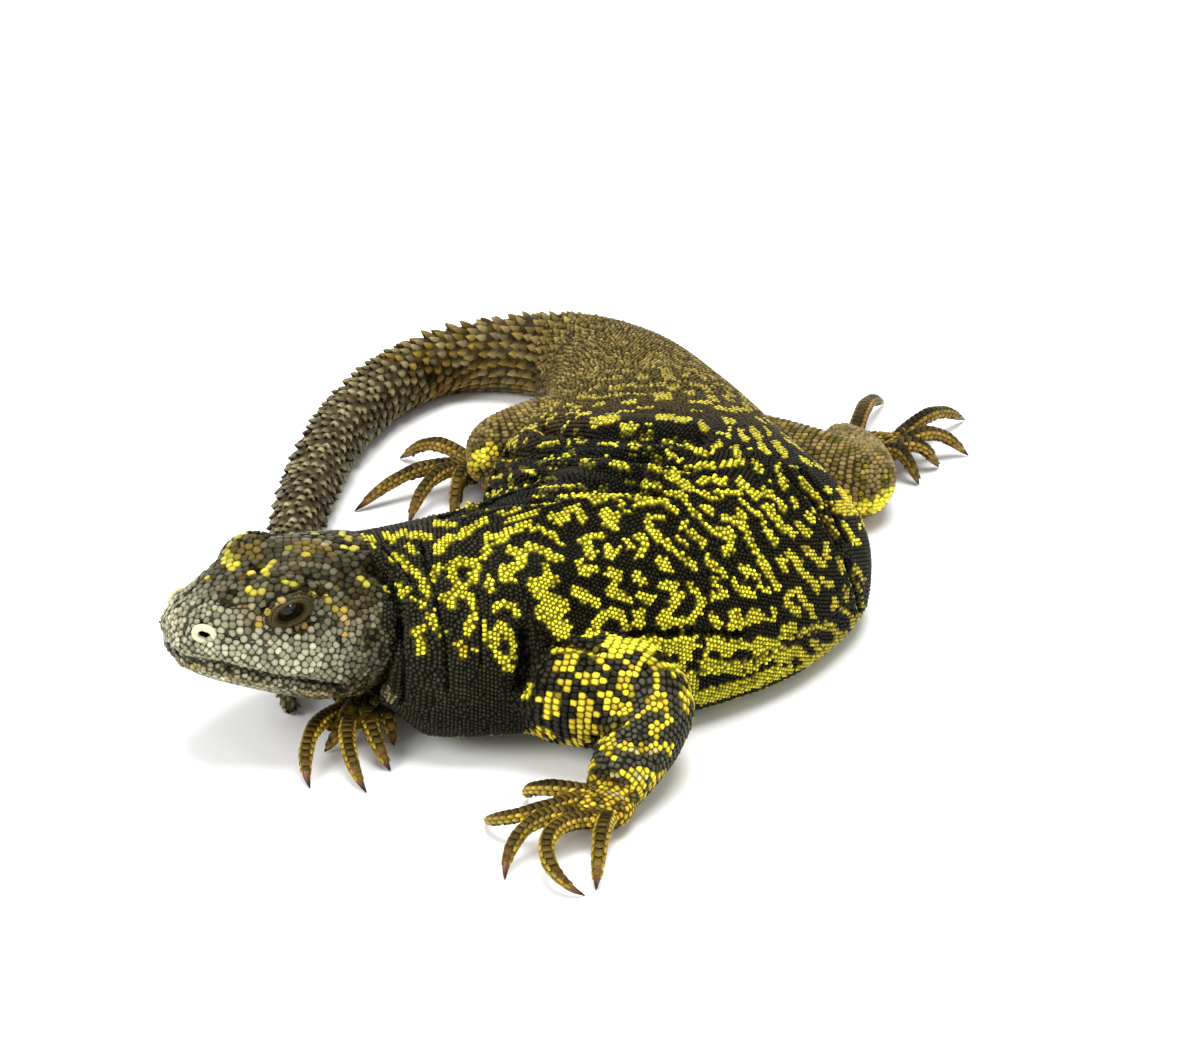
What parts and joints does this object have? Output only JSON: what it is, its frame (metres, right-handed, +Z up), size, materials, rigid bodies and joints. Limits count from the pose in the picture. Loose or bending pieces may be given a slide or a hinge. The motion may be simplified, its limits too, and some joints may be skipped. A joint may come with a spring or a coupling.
{
  "type": "lizard figure",
  "caption": "Life-size mountain lizard at rest, its wide spotted body and spiny tail curled round, head raised over one forefoot.",
  "frame": {"origin": "centre of the plan box, on the floor under the belly", "axes": "+Z up; the head and the tail's end lie towards -X, the trunk's bulge towards +X, and the viewer's side is -Y"},
  "size_m": [0.0842, 0.1064, 0.0215],
  "materials": {
    "head_scales": "pebbled grey scales with yellow flecks, slightly glossy",
    "neck_scales": "fine charcoal granules with yellow blotches",
    "trunk_scales": "fine black granules with lemon-yellow marks",
    "hip_scales": "fine olive-brown granules",
    "tail_scales": "rings of keeled, spiny olive-grey scales",
    "limb_scales": "coarse overlapping scales, black and pale yellow",
    "toe_scales": "small ochre and dark brown toe scales",
    "claw_horn": "brown horn, smooth",
    "eye": "dark, wet and glossy"
  },
  "bodies": {
    "root": {"head": "head_scales", "eye_left": "eye", "eye_right": "eye", "neck": "neck_scales", "chest": "trunk_scales", "belly": "trunk_scales", "hips": "hip_scales", "tail_1": "tail_scales", "tail_2": "tail_scales", "tail_3": "tail_scales", "tail_4": "tail_scales", "tail_5": "tail_scales", "tail_6": "tail_scales", "upper_arm_left": "limb_scales", "forearm_left": "limb_scales", "hand_left": "toe_scales", "claw_hand_left_1": "claw_horn", "claw_hand_left_2": "claw_horn", "claw_hand_left_3": "claw_horn", "claw_hand_left_4": "claw_horn", "claw_hand_left_5": "claw_horn", "upper_arm_right": "limb_scales", "forearm_right": "limb_scales", "hand_right": "toe_scales", "claw_hand_right_1": "claw_horn", "claw_hand_right_2": "claw_horn", "claw_hand_right_3": "claw_horn", "claw_hand_right_4": "claw_horn", "claw_hand_right_5": "claw_horn", "thigh_left": "limb_scales", "shank_left": "limb_scales", "foot_left": "toe_scales", "claw_foot_left_1": "claw_horn", "claw_foot_left_2": "claw_horn", "claw_foot_left_3": "claw_horn", "claw_foot_left_4": "claw_horn", "claw_foot_left_5": "claw_horn", "thigh_right": "limb_scales", "shank_right": "limb_scales", "foot_right": "toe_scales", "claw_foot_right_1": "claw_horn", "claw_foot_right_2": "claw_horn", "claw_foot_right_3": "claw_horn", "claw_foot_right_4": "claw_horn", "claw_foot_right_5": "claw_horn"}
  },
  "joints": []
}
